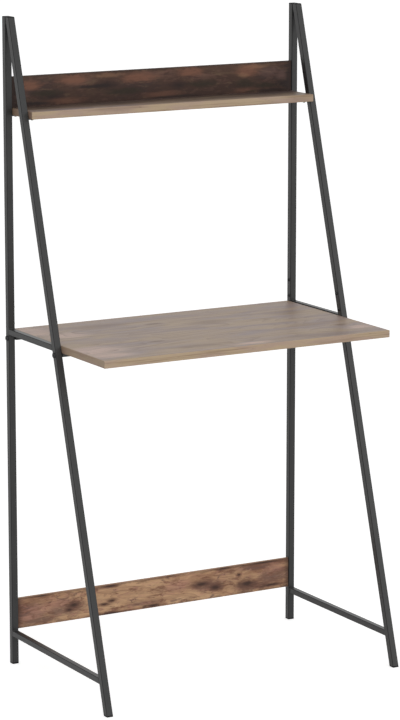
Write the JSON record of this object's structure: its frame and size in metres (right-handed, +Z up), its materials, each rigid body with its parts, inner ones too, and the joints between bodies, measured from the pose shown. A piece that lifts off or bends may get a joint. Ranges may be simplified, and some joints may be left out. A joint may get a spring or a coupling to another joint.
{
  "type": "ladder desk",
  "caption": "Leaning ladder desk with a slim steel frame, an oak-look desktop, a narrow shelf above it and low back boards.",
  "frame": {"origin": "on the floor, midway between the side frames and midway between the rear posts' rear faces and the fronts of the front legs' feet", "axes": "+Z up, +X to the right of someone who sits at the desk, +Y to the rear; the sitter is at -Y"},
  "size_m": [0.733, 0.4559, 1.426],
  "materials": {
    "powder_coat": "fine-textured matt powder coat, charcoal grey",
    "dark_steel": "black oxide screws",
    "zinc_steel": "bright zinc plate",
    "black_plastic": "matt moulded plastic",
    "desk_laminate": "greyish oak foil, matt",
    "desk_edging": "oak-tan edge band, matt",
    "rustic_board": "weathered wood foil, matt, darker on the upper board"
  },
  "bodies": {
    "root": {"crossbar_bolts": "dark_steel", "desktop": "desk_laminate", "desktop_front_edge_band": "desk_edging", "desktop_left_edge_band": "desk_edging", "desktop_rear_edge_band": "desk_edging", "desktop_right_edge_band": "desk_edging", "desktop_screws": "dark_steel", "front_crossbar": "powder_coat", "left_desk_rung": "powder_coat", "left_front_foot_cap": "black_plastic", "left_front_shelf_tab": "powder_coat", "left_front_splice_sleeve": "zinc_steel", "left_front_top_plug": "black_plastic", "left_low_rung": "powder_coat", "left_lower_board_tab": "powder_coat", "left_lower_front_leg": "powder_coat", "left_lower_rear_post": "powder_coat", "left_rear_foot_cap": "black_plastic", "left_rear_shelf_tab": "powder_coat", "left_rear_splice_sleeve": "zinc_steel", "left_rear_top_plug": "black_plastic", "left_top_weld": "powder_coat", "left_upper_board_tab": "powder_coat", "left_upper_front_leg": "powder_coat", "left_upper_rear_post": "powder_coat", "lower_back_board": "rustic_board", "lower_back_board_screws": "dark_steel", "rear_crossbar": "powder_coat", "right_desk_rung": "powder_coat", "right_front_foot_cap": "black_plastic", "right_front_shelf_tab": "powder_coat", "right_front_splice_sleeve": "zinc_steel", "right_front_top_plug": "black_plastic", "right_low_rung": "powder_coat", "right_lower_board_tab": "powder_coat", "right_lower_front_leg": "powder_coat", "right_lower_rear_post": "powder_coat", "right_rear_foot_cap": "black_plastic", "right_rear_shelf_tab": "powder_coat", "right_rear_splice_sleeve": "zinc_steel", "right_rear_top_plug": "black_plastic", "right_top_weld": "powder_coat", "right_upper_board_tab": "powder_coat", "right_upper_front_leg": "powder_coat", "right_upper_rear_post": "powder_coat", "shelf_front_edge_band": "desk_edging", "shelf_left_edge_band": "desk_edging", "shelf_rear_edge_band": "desk_edging", "shelf_right_edge_band": "desk_edging", "shelf_screws": "dark_steel", "splice_screws": "dark_steel", "upper_back_board": "rustic_board", "upper_back_board_screws": "dark_steel", "upper_shelf": "desk_laminate"}
  },
  "joints": []
}
